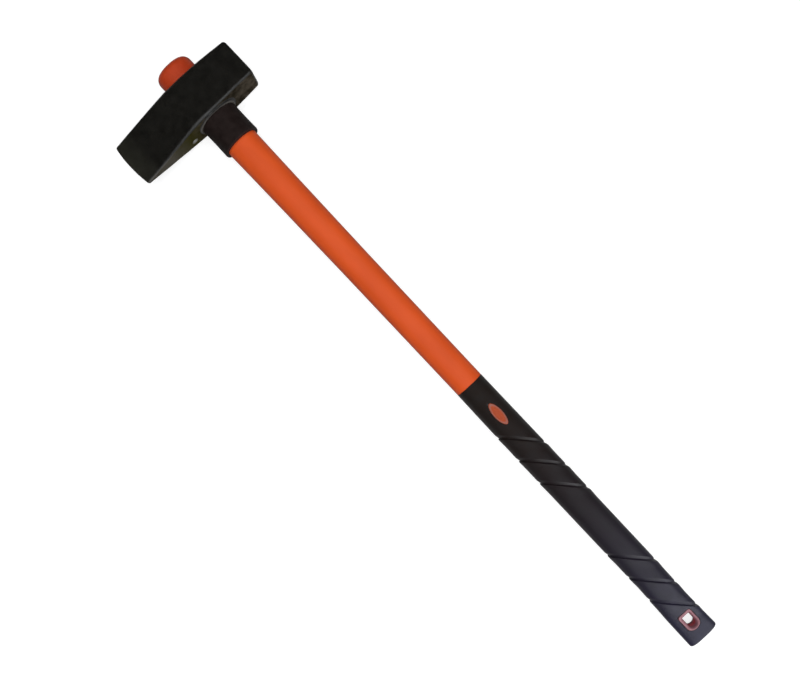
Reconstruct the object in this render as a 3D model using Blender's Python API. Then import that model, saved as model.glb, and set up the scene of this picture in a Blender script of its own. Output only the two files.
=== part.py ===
"""Splitting maul: a forged wedge head on a fibreglass-cored handle with a moulded grip.

The maul lies flat. The handle's axis is the X axis: the knob above the head is at the -X end, and
the butt's flat end face is centred on the origin. The blade edge points to -Y, the striking poll
to +Y, and the flat cheeks of the head face +Z and -Z. Lengths are in millimetres; each finished
mesh is scaled to metres.
"""

import math

import bmesh
import bpy
from mathutils import Matrix, Vector

MM = 0.001

# Driving dimensions, in millimetres.
OVERALL_LENGTH = 904.0
GAP = 0.3

# Head: x runs from the top face to the underside that faces the butt, y from poll to blade.
HEAD_TOP_X = -877.9
HEAD_UNDERSIDE_X = -824.5
HEAD_HALF_THICKNESS = 23.5
POLL_HALF_THICKNESS = 21.5
POLL_Y = 63.6
POLL_TOP_X = -874.9
POLL_UNDERSIDE_X = -826.3
POLL_EDGE_RADIUS = 3.2
BLADE_Y = -114.2
BLADE_TOP_X = -878.3
BLADE_UNDERSIDE_X = -821.4
BLADE_BELLY = 2.2
BLADE_CORNER = 2.8
BLADE_BLUNTING = 0.3
BLADE_HALF_THICKNESS = 1.8
WEDGE_START_Y = -26.0
WEDGE_MIDDLE_Y = -70.0
TAPER_START_Y = 34.0
CHEEK_BLEND = 5.0
BLEND_SHARES = (1.0, 0.33, -0.33, -1.0)
CHEEK_EDGE_RADIUS = 2.6
THIN_EDGE_SHARE = 0.6
EYE_WIDTH = 37.0
EYE_DEPTH = 27.0
BOSS_END_X = -822.0
BOSS_WIDTH = 52.4
BOSS_DEPTH = 38.8
BOSS_EDGE = 1.2
BOSS_FLARE = 3.2
BOSS_SUNK = 2.0
BOSS_FOOT = 0.2
BOSS_POWER = 2.4

# Handle inside the eye, between head and grip, and inside the grip.
RESIN_THICKNESS = 1.2
CORE_DIAMETER = 18.0
CORE_BUTT_X = -95.6
CORE_IN_CAP = 12.6
BORE_BUTT_X = -95.0
JACKET_BUTT_X = -45.0
TENON_SHOULDER = 5.0

# Knob above the head.
CAP_WIDTH = 46.8
CAP_DEPTH = 34.5
CAP_CORNER = 9.0
CAP_CROWN = 1.2
CAP_CROWN_INSET = 14.0
CAP_FOOT = 1.5
CAP_OFFSET_Y = -1.2

# Rubber collar under the head.
COLLAR_WIDTH = 48.0
COLLAR_DEPTH = 42.8
COLLAR_BUTT_X = -782.3
COLLAR_EDGE = 1.2

# Grip.
GRIP_TOP_X = -397.0
GRIP_TOP_EDGE = 0.7
BUTT_CORNER = 1.6
UPPER_GROOVES = (-308.0, -272.3, -236.6)
LOWER_GROOVES = (-121.7, -85.8, -50.5)
GROOVE_SLANT = 1.11
GROOVE_BOW = 0.33
GROOVE_DEPTH = 1.25
GROOVE_STEP = 0.4
SLANT_FULL_FROM_X = -330.0
SLANT_FULL_TO_X = -49.0
SLANT_END_X = -4.0
# Places of rings on the plain stretches: above, between and below the two groups of grooves.
PLAIN_ABOVE = (-375.0, -350.0, -326.0)
PLAIN_BETWEEN = (-205.0, -160.0)
PLAIN_BELOW = -22.0
# (distance past a groove's centre, height over the plain grip): a long slope down, a narrow floor,
# and a rise to a proud lip that fades away.
GROOVE_PROFILE = (
    (-4.4, 0.0),
    (0.0, -GROOVE_DEPTH),
    (0.9, -GROOVE_DEPTH),
    (3.3, GROOVE_STEP),
    (14.0, 0.0),
)

# Pointed oval inlays near the grip's top, and the D-shaped hang hole near the butt.
BADGE_X = -351.5
BADGE_Y = 0.7
BADGE_LENGTH = 31.0
BADGE_WIDTH = 11.4
BADGE_POINT = 1.05
BADGE_PROUD = 0.3
BADGE_SUNK = 0.9
BADGE_RECESS_TOP = 3.0
BADGE_CORE = 0.5
BADGE_FLAT = 0.93
LINER_X = -26.3
LINER_Y = -1.1
LINER_LENGTH = 24.4
LINER_WIDTH = 18.9
LINER_CORNER = 3.2
LINER_NOSE = 8.0
LINER_PROUD = 0.25
LIP_INSET = 0.9
HOLE_LENGTH = 14.4
HOLE_WIDTH = 10.0
HOLE_CORNER = 1.2
HOLE_NOSE = 5.0
HOLE_OFFSET_X = 2.3
HOLE_HALF_DEPTH = 1.5
NOSE_POWER = 2.1

RING_POINTS = 36
OVAL_POWER = 2.15
CUT_OVERRUN = 10.0
SHARP_DEGREES = 35

# (x, width across Y, depth across Z) of the orange shaft, and of its thinner end in the grip.
SHAFT_SIZES = (
    (-815.0, 40.0, 30.6),
    (-782.0, 40.0, 30.6),
    (-740.0, 39.0, 30.0),
    (-690.0, 38.2, 29.4),
    (-640.0, 37.6, 29.0),
    (-590.0, 36.9, 28.4),
    (-397.3, 36.2, 28.0),
)
INNER_SIZES = (
    (-397.3, 31.4, 22.4),
    (-100.0, 31.4, 22.0),
    (-70.0, 31.0, 18.4),
    (-40.0, 31.0, 14.8),
)
# (x, width, depth, shift towards the poll side, oval power) of the grip. Its last stretch is
# flatter and squarer, and flares towards the blade side.
GRIP_SIZES = (
    (-397.0, 36.6, 28.4, 0.0, 2.15),
    (-350.0, 37.2, 28.2, 0.0, 2.15),
    (-250.0, 38.3, 28.0, 0.0, 2.15),
    (-135.0, 38.0, 27.0, 0.0, 2.2),
    (-70.0, 36.8, 24.6, -0.3, 2.4),
    (-46.0, 37.6, 21.0, -0.5, 2.6),
    (-30.0, 39.0, 17.8, -0.9, 2.8),
    (0.0, 40.0, 16.6, -0.9, 3.0),
)


def between(value, low, high):
    """How far value has gone from low to high, held between 0 and 1."""
    return min(1.0, max(0.0, (value - low) / (high - low)))


def mix(low, high, share):
    return low + (high - low) * share


def values_at(x, table):
    """The values at x, on straight lines between a table's rows of (x, value, value, ...)."""
    for here, after in zip(table, table[1:]):
        if x <= after[0] or after is table[-1]:
            share = between(x, here[0], after[0])
            return [mix(low, high, share) for low, high in zip(here[1:], after[1:])]


def signed_power(value, power):
    return math.copysign(abs(value) ** power, value)


def oval(x, width, depth, power=OVAL_POWER):
    """A ring of points around the X axis, a little squarer than an ellipse."""
    points = []
    for index in range(RING_POINTS):
        angle = math.tau * index / RING_POINTS
        y = width / 2 * signed_power(math.cos(angle), 2 / power)
        z = depth / 2 * signed_power(math.sin(angle), 2 / power)
        points.append(Vector((x, y, z)))
    return points


def circle(x, diameter):
    return oval(x, diameter, diameter, 2.0)


def loft(rings, capped):
    """A bmesh through rings of points: with both end rings filled, or joined end to start."""
    bm = bmesh.new()
    loops = [[bm.verts.new(point) for point in ring] for ring in rings]
    pairs = list(zip(loops, loops[1:]))
    if capped:
        bm.faces.new(loops[0])
        bm.faces.new(loops[-1])
    else:
        pairs.append((loops[-1], loops[0]))
    for first, second in pairs:
        for here in range(len(first)):
            after = (here + 1) % len(first)
            bm.faces.new((first[here], first[after], second[after], second[here]))
    bmesh.ops.recalc_face_normals(bm, faces=bm.faces)
    return bm


def make_material(name, colour, roughness, metallic=0.0):
    material = bpy.data.materials.new(name)
    material.use_nodes = True
    material.diffuse_color = (*colour, 1.0)
    shader = material.node_tree.nodes["Principled BSDF"]
    shader.inputs["Base Color"].default_value = (*colour, 1.0)
    shader.inputs["Roughness"].default_value = roughness
    shader.inputs["Metallic"].default_value = metallic
    return material


def make_object(name, bm, material=None):
    """Scales the mesh to metres, shades it smooth up to sharp edges and adds it to the scene."""
    bm.transform(Matrix.Scale(MM, 4))
    mesh = bpy.data.meshes.new(name)
    bm.to_mesh(mesh)
    bm.free()
    mesh.shade_smooth()
    mesh.set_sharp_from_angle(angle=math.radians(SHARP_DEGREES))
    obj = bpy.data.objects.new(name, mesh)
    bpy.context.scene.collection.objects.link(obj)
    if material:
        mesh.materials.append(material)
    return obj


def make_helper(name, bm):
    """A body that only shapes another one and is not a piece of the maul."""
    helper = make_object(name, bm)
    helper.hide_render = True
    helper.display_type = "WIRE"
    return helper


def add_boolean(obj, helper, operation):
    modifier = obj.modifiers.new(f"{operation.lower()}_{helper.name}", "BOOLEAN")
    modifier.operation = operation
    modifier.solver = "EXACT"
    modifier.object = helper


# Head


def eased(past, blend):
    """0 before a corner and the distance past it beyond, rounded off over blend on both sides."""
    if past <= -blend:
        return 0.0
    if past >= blend:
        return past
    return (past + blend) ** 2 / (4 * blend)


def head_half_thickness(y):
    """Parallel cheeks at the eye, a straight wedge to the blade and a slight taper to the poll."""
    wedge = (HEAD_HALF_THICKNESS - BLADE_HALF_THICKNESS) / (WEDGE_START_Y - BLADE_Y)
    taper = (HEAD_HALF_THICKNESS - POLL_HALF_THICKNESS) / (POLL_Y - TAPER_START_Y)
    lost = wedge * eased(WEDGE_START_Y - y, CHEEK_BLEND) + taper * eased(y - TAPER_START_Y, CHEEK_BLEND)
    return HEAD_HALF_THICKNESS - lost


def head_span(y):
    """The x of the head's top face and of its underside, both straight from the eye outwards."""
    if y > 0:
        share = y / POLL_Y
        return mix(HEAD_TOP_X, POLL_TOP_X, share), mix(HEAD_UNDERSIDE_X, POLL_UNDERSIDE_X, share)
    share = y / BLADE_Y
    return mix(HEAD_TOP_X, BLADE_TOP_X, share), mix(HEAD_UNDERSIDE_X, BLADE_UNDERSIDE_X, share)


def rounded_rectangle(left, right, half, radius):
    """(x, z) points around a rectangle, with extra points along both sides that run in X."""
    corners = (
        (right - radius, half - radius, 0),
        (left + radius, half - radius, 90),
        (left + radius, radius - half, 180),
        (right - radius, radius - half, 270),
    )
    arc_steps = 3
    side_steps = 6
    points = []
    for index, (x, z, start) in enumerate(corners):
        for step in range(arc_steps + 1):
            angle = math.radians(start + 90 * step / arc_steps)
            points.append((x + radius * math.cos(angle), z + radius * math.sin(angle)))
        if index in (0, 2):
            next_x = corners[index + 1][0]
            side_z = points[-1][1]
            points += [(mix(x, next_x, step / side_steps), side_z) for step in range(1, side_steps)]
    return points


def head_section(y, inset_x=0.0, inset_z=0.0, belly=0.0):
    """A slice across the head. Belly bows its middle towards the blade side."""
    top, underside = head_span(y)
    top += inset_x
    underside -= inset_x
    half = head_half_thickness(y) - inset_z
    radius = min(CHEEK_EDGE_RADIUS, half * THIN_EDGE_SHARE)
    middle = (top + underside) / 2
    reach = (underside - top) / 2
    points = []
    for x, z in rounded_rectangle(top, underside, half, radius):
        bow = belly * (1 - ((x - middle) / reach) ** 2)
        points.append(Vector((x, y - bow, z)))
    return points


def edge_turns(radius):
    """How far in along y, and how far in from the side, at each step around a rounded edge."""
    turns = []
    for degrees in (90, 60, 30, 0):
        angle = math.radians(degrees)
        turns.append((radius * (1 - math.sin(angle)), radius * (1 - math.cos(angle))))
    return turns


def eye_boss():
    """The raised rim around the eye: flared into the underside of the head, rounded at its end."""
    foot = (BOSS_WIDTH + BOSS_FLARE, BOSS_DEPTH, BOSS_POWER)
    rings = [oval(HEAD_UNDERSIDE_X - BOSS_SUNK, *foot), oval(HEAD_UNDERSIDE_X + BOSS_FOOT, *foot)]
    for down, inset in reversed(edge_turns(BOSS_EDGE)):
        width, depth = BOSS_WIDTH - 2 * inset, BOSS_DEPTH - 2 * inset
        rings.append(oval(BOSS_END_X - down, width, depth, BOSS_POWER))
    return loft(rings, capped=True)


def head_block():
    rings = [head_section(POLL_Y - down, inset, inset) for down, inset in edge_turns(POLL_EDGE_RADIUS)]
    for start_y in (TAPER_START_Y, WEDGE_START_Y):
        rings += [head_section(start_y + share * CHEEK_BLEND) for share in BLEND_SHARES]
        if start_y == TAPER_START_Y:
            rings.append(head_section(0.0))
    rings.append(head_section(WEDGE_MIDDLE_Y))
    edge_y = BLADE_Y + BLADE_BELLY
    for up, inset in reversed(edge_turns(BLADE_CORNER)):
        rings.append(head_section(edge_y + up, inset, BLADE_BLUNTING * inset, BLADE_BELLY))
    return loft(rings, capped=True)


def build_head():
    colour = (0.012, 0.011, 0.010)
    material = make_material("forged_black", colour, 0.55, 0.3)
    head = make_object("maul_head", head_block(), material)
    boss = make_helper("eye_boss_shape", eye_boss())
    ends = (HEAD_TOP_X - CUT_OVERRUN, BOSS_END_X + CUT_OVERRUN)
    eye_rings = [oval(x, EYE_WIDTH, EYE_DEPTH) for x in ends]
    eye = make_helper("eye_cutter", loft(eye_rings, capped=True))
    add_boolean(head, boss, "UNION")
    add_boolean(head, eye, "DIFFERENCE")
    return head


# Handle


def build_resin_bond():
    outer = (EYE_WIDTH - 2 * GAP, EYE_DEPTH - 2 * GAP)
    inner = (outer[0] - 2 * RESIN_THICKNESS, outer[1] - 2 * RESIN_THICKNESS)
    ends = (HEAD_TOP_X + GAP, BOSS_END_X - GAP)
    rings = [oval(x, *outer) for x in ends] + [oval(x, *inner) for x in reversed(ends)]
    material = make_material("epoxy", (0.45, 0.33, 0.14), 0.3)
    return make_object("eye_resin_bond", loft(rings, capped=False), material)


def build_core():
    ends = (HEAD_TOP_X - CORE_IN_CAP, CORE_BUTT_X)
    rings = [circle(x, CORE_DIAMETER) for x in ends]
    material = make_material("glass_fibre", (0.72, 0.68, 0.50), 0.45)
    return make_object("fibreglass_core", loft(rings, capped=True), material)


def inner_ring(x, clearance=0.0):
    """A ring of the jacket's thin end, or of the grip's bore with a clearance around it."""
    width, depth = values_at(x, INNER_SIZES)
    return oval(x, width + clearance, depth + clearance)


def inner_rings(end_x, clearance=0.0):
    """Rings from the grip's top down to end_x, one at each bend of the taper."""
    bends = [x for x, *_ in INNER_SIZES[1:-1]]
    return [inner_ring(x, clearance) for x in (GRIP_TOP_X - GAP, *bends, end_x)]


def build_jacket():
    """A blind-bored jacket: a tenon through the eye, the open shaft, a thin end in the grip."""
    clearance = 2 * (RESIN_THICKNESS + 2 * GAP)
    tenon = (EYE_WIDTH - clearance, EYE_DEPTH - clearance)
    bore = CORE_DIAMETER + 2 * GAP
    shoulder_x = SHAFT_SIZES[0][0] - TENON_SHOULDER
    rings = [circle(BORE_BUTT_X, bore), circle(HEAD_TOP_X, bore)]
    rings += [oval(HEAD_TOP_X, *tenon), oval(shoulder_x, *tenon)]
    rings += [oval(*size) for size in SHAFT_SIZES]
    rings += inner_rings(JACKET_BUTT_X)
    material = make_material("orange_plastic", (0.68, 0.095, 0.026), 0.42)
    return make_object("handle_jacket", loft(rings, capped=True), material)


def cap_ring(x, trim):
    """A ring of the knob's outside, trimmed all round. The knob sits a little off the axis."""
    offset = Vector((0.0, CAP_OFFSET_Y, 0.0))
    return [point + offset for point in oval(x, CAP_WIDTH - 2 * trim, CAP_DEPTH - 2 * trim)]


def build_cap():
    """The knob: a rounded oval block with a blind socket for the end of the core."""
    base_x = HEAD_TOP_X - GAP
    crown_x = -OVERALL_LENGTH
    bore = CORE_DIAMETER + 2 * GAP
    socket_x = HEAD_TOP_X - CORE_IN_CAP - GAP
    rings = [circle(socket_x, bore), circle(base_x, bore)]
    rings += [cap_ring(base_x, CAP_FOOT), cap_ring(base_x - CAP_FOOT, 0.0)]
    steps = 6
    for step in range(steps + 1):
        angle = math.radians(90 * step / steps)
        x = crown_x + CAP_CROWN + CAP_CORNER * (1 - math.sin(angle))
        rings.append(cap_ring(x, CAP_CORNER * (1 - math.cos(angle))))
    rings.append(cap_ring(crown_x, CAP_CROWN_INSET))
    material = make_material("knob_orange", (0.46, 0.058, 0.018), 0.4)
    return make_object("top_cap", loft(rings, capped=True), material)


def build_collar():
    head_x = BOSS_END_X + GAP
    width, depth = SHAFT_SIZES[0][1] + 2 * GAP, SHAFT_SIZES[0][2] + 2 * GAP
    edge = COLLAR_EDGE
    rings = [oval(head_x, COLLAR_WIDTH - edge, COLLAR_DEPTH - edge)]
    rings += [oval(head_x + edge, COLLAR_WIDTH, COLLAR_DEPTH)]
    rings += [oval(COLLAR_BUTT_X - edge, COLLAR_WIDTH, COLLAR_DEPTH)]
    rings += [oval(COLLAR_BUTT_X, COLLAR_WIDTH - 2 * edge, COLLAR_DEPTH - 2 * edge)]
    rings += [oval(COLLAR_BUTT_X, width, depth), oval(head_x, width, depth)]
    material = make_material("collar_rubber", (0.012, 0.011, 0.010), 0.6)
    return make_object("overstrike_collar", loft(rings, capped=False), material)


# Grip


def slant_share(x):
    """Rings stand square at both ends of the grip and lean with the grooves between them."""
    rising = between(x, GRIP_TOP_X, SLANT_FULL_FROM_X)
    falling = 1 - between(x, SLANT_FULL_TO_X, SLANT_END_X)
    return min(rising, falling)


def grip_ring(x, proud=0.0):
    """A ring of the grip's outside, leaning as the grooves do, proud of the plain surface.

    The grooves slant across the handle, and on both faces they bow towards the head.
    """
    width, depth, shift, power = values_at(x, GRIP_SIZES)
    share = slant_share(x)
    ring = oval(x, width + 2 * proud, depth + 2 * proud, power)
    for point in ring:
        point.x += share * (GROOVE_SLANT * point.y - GROOVE_BOW * abs(point.z))
        point.y += shift
    return ring


def grip_surface_z(x, y):
    width, depth, shift, power = values_at(x, GRIP_SIZES)
    return depth / 2 * (1 - abs(2 * (y - shift) / width) ** power) ** (1 / power)


def groove_rings(centres):
    rings = []
    for centre in centres:
        rings += [grip_ring(centre + offset, proud) for offset, proud in GROOVE_PROFILE]
    return rings


def butt_rings():
    """The rounded corner between the grip's side and its flat end face."""
    steps = 3
    rings = []
    for step in range(steps + 1):
        angle = math.radians(90 * step / steps)
        x = -BUTT_CORNER * (1 - math.sin(angle))
        rings.append(grip_ring(x, -BUTT_CORNER * (1 - math.cos(angle))))
    return rings


def grip_outside():
    rings = [grip_ring(GRIP_TOP_X, -GRIP_TOP_EDGE), grip_ring(GRIP_TOP_X + GRIP_TOP_EDGE)]
    rings += [grip_ring(x) for x in PLAIN_ABOVE]
    rings += groove_rings(UPPER_GROOVES)
    rings += [grip_ring(x) for x in PLAIN_BETWEEN]
    rings += groove_rings(LOWER_GROOVES)
    rings.append(grip_ring(PLAIN_BELOW))
    return rings + butt_rings()


def d_outline(centre_x, length, width, corner, nose):
    """(x, y) points of a D: flat towards the head, rounded over the nose length at the butt."""
    half_width = width / 2
    flat_x = centre_x - length / 2
    nose_x = centre_x + length / 2 - nose
    points = []
    steps = 12
    for step in range(steps + 1):
        angle = math.radians(-90 + 180 * step / steps)
        x = nose_x + nose * signed_power(math.cos(angle), 2 / NOSE_POWER)
        y = half_width * signed_power(math.sin(angle), 2 / NOSE_POWER)
        points.append((x, LINER_Y + y))
    for side, start in ((1, 90), (-1, 180)):
        for step in range(4):
            angle = math.radians(start + 30 * step)
            x = flat_x + corner + corner * math.cos(angle)
            y = side * (half_width - corner) + corner * math.sin(angle)
            points.append((x, LINER_Y + y))
    return points


def liner_outline(inset=0.0):
    """The liner's outline, moved in by an inset, or out by a negative one."""
    length, width = LINER_LENGTH - 2 * inset, LINER_WIDTH - 2 * inset
    return d_outline(LINER_X, length, width, LINER_CORNER - inset / 2, LINER_NOSE - inset)


def hole_cutter():
    """A D prism that cuts the liner's seat through the grip, with a gap all round."""
    reach = GRIP_SIZES[0][2]
    outline = liner_outline(-GAP)
    rings = [[Vector((x, y, z)) for x, y in outline] for z in (-reach, reach)]
    return loft(rings, capped=True)


def badge_shape(side, top, grow=0.0):
    """A pointed oval pad that follows the grip's surface on one side, larger all round by grow."""
    half_length = BADGE_LENGTH / 2 + grow
    half_width = BADGE_WIDTH / 2 + grow
    bottom = -BADGE_SUNK - grow
    layers = ((BADGE_CORE, bottom), (1.0, bottom), (1.0, 0.0), (BADGE_FLAT, top), (BADGE_CORE, top))
    rings = []
    for share, height in layers:
        ring = []
        for index in range(RING_POINTS):
            angle = math.tau * index / RING_POINTS
            x = BADGE_X + half_length * share * signed_power(math.cos(angle), BADGE_POINT)
            y = BADGE_Y + half_width * share * signed_power(math.sin(angle), BADGE_POINT)
            ring.append(Vector((x, y, side * (grip_surface_z(x, y) + height))))
        rings.append(ring)
    return loft(rings, capped=True)


def build_grip():
    """A cup over the jacket's end: inside up from its closed end, then outside down to the butt."""
    inside = reversed(inner_rings(JACKET_BUTT_X + GAP, 2 * GAP))
    material = make_material("grip_black", (0.033, 0.028, 0.034), 0.6)
    grip = make_object("grip_sleeve", loft([*inside, *grip_outside()], capped=True), material)
    hole = make_helper("hang_hole_cutter", hole_cutter())
    add_boolean(grip, hole, "DIFFERENCE")
    for side, word in ((1, "front"), (-1, "back")):
        recess = make_helper(f"badge_{word}_recess", badge_shape(side, BADGE_RECESS_TOP, GAP))
        add_boolean(grip, recess, "DIFFERENCE")
    return grip


def build_badge(word, side):
    material = make_material(f"badge_{word}_orange", (0.42, 0.085, 0.035), 0.4)
    return make_object(f"badge_{word}", badge_shape(side, BADGE_PROUD), material)


def liner_ring(outline, height_at):
    return [Vector((x, y, height_at(x, y))) for x, y in outline]


def build_liner():
    """A D tube whose mouths slope in from the grip's surface to the smaller hole."""
    hole_x = LINER_X + HOLE_OFFSET_X
    hole = d_outline(hole_x, HOLE_LENGTH, HOLE_WIDTH, HOLE_CORNER, HOLE_NOSE)
    rings = []
    for side in (1, -1):
        surface = [
            liner_ring(liner_outline(), lambda x, y: side * grip_surface_z(x, y)),
            liner_ring(liner_outline(LIP_INSET), lambda x, y: side * (grip_surface_z(x, y) + LINER_PROUD)),
            liner_ring(hole, lambda x, y: side * HOLE_HALF_DEPTH),
        ]
        rings += surface if side == 1 else reversed(surface)
    material = make_material("liner_red", (0.30, 0.035, 0.030), 0.45)
    return make_object("hang_hole_liner", loft(rings, capped=False), material)


def main():
    for old in list(bpy.data.objects):
        bpy.data.objects.remove(old, do_unlink=True)
    maul = bpy.data.objects.new("splitting_maul", None)
    bpy.context.scene.collection.objects.link(maul)
    pieces = [build_head(), build_resin_bond(), build_core(), build_jacket(), build_cap()]
    pieces += [build_collar(), build_grip(), build_badge("front", 1), build_badge("back", -1)]
    pieces.append(build_liner())
    for piece in pieces:
        piece.parent = maul


main()
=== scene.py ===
"""The looks of the splitting maul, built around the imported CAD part.

The frame's X axis runs along the handle, from the knob above the head to the butt's flat end face
at the origin. The blade points to -Y, the striking poll to +Y, and a cheek faces up. Everything is
in metres; the constants below are in millimetres and are turned into metres by `mm`.
"""

import math

import bmesh
import bpy
import numpy as np
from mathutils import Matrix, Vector, noise


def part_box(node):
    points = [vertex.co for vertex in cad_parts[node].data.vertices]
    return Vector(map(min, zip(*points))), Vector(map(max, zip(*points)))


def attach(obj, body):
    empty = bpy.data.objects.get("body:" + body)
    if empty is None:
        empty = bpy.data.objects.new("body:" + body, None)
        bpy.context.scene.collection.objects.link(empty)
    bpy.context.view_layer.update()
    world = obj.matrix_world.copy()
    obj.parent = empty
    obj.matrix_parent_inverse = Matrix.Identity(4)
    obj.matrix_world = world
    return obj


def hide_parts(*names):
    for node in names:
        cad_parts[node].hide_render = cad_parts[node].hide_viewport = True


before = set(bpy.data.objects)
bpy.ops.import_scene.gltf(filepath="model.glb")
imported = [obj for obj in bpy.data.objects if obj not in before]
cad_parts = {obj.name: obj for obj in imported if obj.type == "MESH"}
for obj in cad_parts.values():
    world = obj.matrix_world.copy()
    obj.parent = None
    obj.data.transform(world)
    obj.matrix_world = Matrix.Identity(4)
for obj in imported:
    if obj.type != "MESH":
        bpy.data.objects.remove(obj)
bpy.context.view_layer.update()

IMAGE_WIDTH = 800

OVAL_POWER = 2.15
RING_POINTS = 144


def mm(value):
    return value / 1000.0


# Places taken from the frame

HEAD_LOW, HEAD_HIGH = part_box("maul_head")
CAP_LOW, CAP_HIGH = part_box("top_cap")
COLLAR_LOW, COLLAR_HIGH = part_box("overstrike_collar")
JACKET_LOW, JACKET_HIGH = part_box("handle_jacket")
GRIP_LOW, GRIP_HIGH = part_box("grip_sleeve")
BADGE_LOW, BADGE_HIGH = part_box("badge_front")
LINER_LOW, LINER_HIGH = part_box("hang_hole_liner")
CORE_LOW, CORE_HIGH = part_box("fibreglass_core")
RESIN_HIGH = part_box("eye_resin_bond")[1]

GAP = mm(0.3)
# How far a cutting shape sticks out of what it cuts.
CUT_OVERRUN = mm(10.0)
# Edges that turn by more than this stay crisp; no edge turns by more than the second one.
SHARP_DEGREES = 40
ALL_SMOOTH_DEGREES = 180


# Small mathematics


def smooth(value, low, high):
    """0 below low, 1 above high, an S curve between. Works on numbers and on arrays."""
    share = np.clip((value - low) / (high - low), 0.0, 1.0)
    return share * share * (3 - 2 * share)


def along(x, stations):
    """Values at x, on straight lines between stations of (x, value, value, ...)."""
    table = np.array(stations)
    return [float(np.interp(x, table[:, 0], table[:, column])) for column in range(1, table.shape[1])]


def signed_power(value, power):
    return np.sign(value) * np.abs(value) ** power


def oval(x, half_width, half_depth, power=OVAL_POWER, count=RING_POINTS):
    """A ring of points around the X axis, a little squarer than an ellipse."""
    angle = np.linspace(0, math.tau, count, endpoint=False)
    y = half_width * signed_power(np.cos(angle), 2 / power)
    z = half_depth * signed_power(np.sin(angle), 2 / power)
    return np.stack([np.full(count, float(x)), y, z], axis=1)


def rounded_steps(radius, steps):
    """(advance, inset) at each step round a quarter circle, from the side to the end face."""
    angles = np.linspace(0, math.pi / 2, steps + 1)
    return [(radius * math.sin(a), radius * (1 - math.cos(a))) for a in angles]


# Meshes


def loft_mesh(name, rings, capped):
    """A mesh through rings of points. Its ends close in a fan, or the last ring meets the first."""
    count = len(rings[0])
    points = np.concatenate(rings)
    here = np.arange(count)
    after = (here + 1) % count
    quads = []
    pairs = [(i, i + 1) for i in range(len(rings) - 1)]
    if not capped:
        pairs.append((len(rings) - 1, 0))
    for first, second in pairs:
        a, b = first * count, second * count
        quads.append(np.stack([a + here, a + after, b + after, b + here], axis=1))
    faces = np.concatenate(quads).tolist()
    if capped:
        middles = np.stack([rings[0].mean(axis=0), rings[-1].mean(axis=0)])
        points = np.concatenate([points, middles])
        base = len(rings) * count
        last = (len(rings) - 1) * count
        faces += [(base, int(j), int(i)) for i, j in zip(here, after)]
        faces += [(base + 1, int(last + i), int(last + j)) for i, j in zip(here, after)]
    mesh = bpy.data.meshes.new(name)
    mesh.from_pydata(points.tolist(), [], faces)
    outward(mesh)
    return mesh


def outward(mesh):
    bm = bmesh.new()
    bm.from_mesh(mesh)
    bmesh.ops.recalc_face_normals(bm, faces=bm.faces)
    bm.to_mesh(mesh)
    bm.free()


def note_painted_light(mesh, name, values, count):
    """Notes a value for each ring of a loft, for its material. The middle of a cap has none."""
    wear = np.zeros(len(mesh.vertices))
    wear[:len(values) * count] = np.repeat(values, count)
    attribute = mesh.attributes.new(name, "FLOAT", "POINT")
    attribute.data.foreach_set("value", wear)


def new_object(name, mesh):
    obj = bpy.data.objects.new(name, mesh)
    bpy.context.scene.collection.objects.link(obj)
    return obj


def apply_modifiers(obj):
    """Bakes an object's modifiers into its mesh."""
    graph = bpy.context.evaluated_depsgraph_get()
    graph.update()
    mesh = bpy.data.meshes.new_from_object(obj.evaluated_get(graph))
    obj.modifiers.clear()
    obj.data = mesh


def cut(obj, tool_mesh, operation="DIFFERENCE"):
    """Cuts, or joins, a tool shape and removes the tool."""
    tool = new_object("tool", tool_mesh)
    modifier = obj.modifiers.new("cut", "BOOLEAN")
    modifier.operation = operation
    modifier.solver = "MANIFOLD"
    modifier.object = tool
    apply_modifiers(obj)
    bpy.data.objects.remove(tool, do_unlink=True)


def displace(obj, offset_at):
    """Moves each vertex along its normal by offset_at(point)."""
    normals = [vertex.normal.copy() for vertex in obj.data.vertices]
    for vertex, normal in zip(obj.data.vertices, normals):
        vertex.co += normal * offset_at(vertex.co)
    obj.data.update()


def piece(name, obj, node, material, sharp_degrees=SHARP_DEGREES):
    """Finishes an object as the visible piece that stands for a CAD node."""
    obj.name = name
    obj.data.name = name
    obj.data.materials.clear()
    obj.data.materials.append(material)
    obj.data.shade_smooth()
    obj.data.set_sharp_from_angle(angle=math.radians(sharp_degrees))
    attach(obj, "root")
    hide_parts(node)
    return obj


# Colours, as linear (r, g, b)

PAINT_DEEP = (0.0045, 0.0043, 0.0039)
PAINT_PALE = (0.0080, 0.0075, 0.0066)
PAINT_DUST = (0.034, 0.030, 0.018)
PAINT_WORN_SHEEN = (0.10, 0.10, 0.10)
POLL_REFLECTION_GRIME_PALE = (0.088, 0.073, 0.054)
POLL_REFLECTION_GRIME_DEEP = (0.026, 0.021, 0.013)
BLADE_REFLECTION_GRIME = (0.040, 0.036, 0.006)
RIM_HIGHLIGHT = (0.13, 0.12, 0.11)
DIMPLE_BARE_GLINT = (0.42, 0.42, 0.40)
BLADE_TIP_OLIVE = (0.026, 0.026, 0.018)
KNOB_DEEP = (0.40, 0.038, 0.010)
KNOB_BRIGHT = (0.47, 0.052, 0.014)
SHAFT_DEEP = (0.61, 0.075, 0.0125)
SHAFT_BRIGHT = (0.69, 0.090, 0.0165)
COLLAR_DEEP = (0.0100, 0.0060, 0.0054)
COLLAR_BLOOM = (0.0165, 0.0108, 0.0098)
COLLAR_WORN = (0.05, 0.05, 0.05)
GRIP_WARM = (0.0125, 0.0080, 0.0062)
GRIP_LIT_BLUE = (0.0190, 0.0175, 0.0400)
GRIP_CLOUD = (0.010, 0.010, 0.011)
GRIP_WORN = (0.11, 0.11, 0.13)
BADGE_DEEP = (0.33, 0.044, 0.006)
BADGE_BRIGHT = (0.39, 0.055, 0.009)
BADGE_RIM_HIGHLIGHT = (0.30, 0.102, 0.074)
LINER_DEEP = (0.44, 0.075, 0.095)
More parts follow.
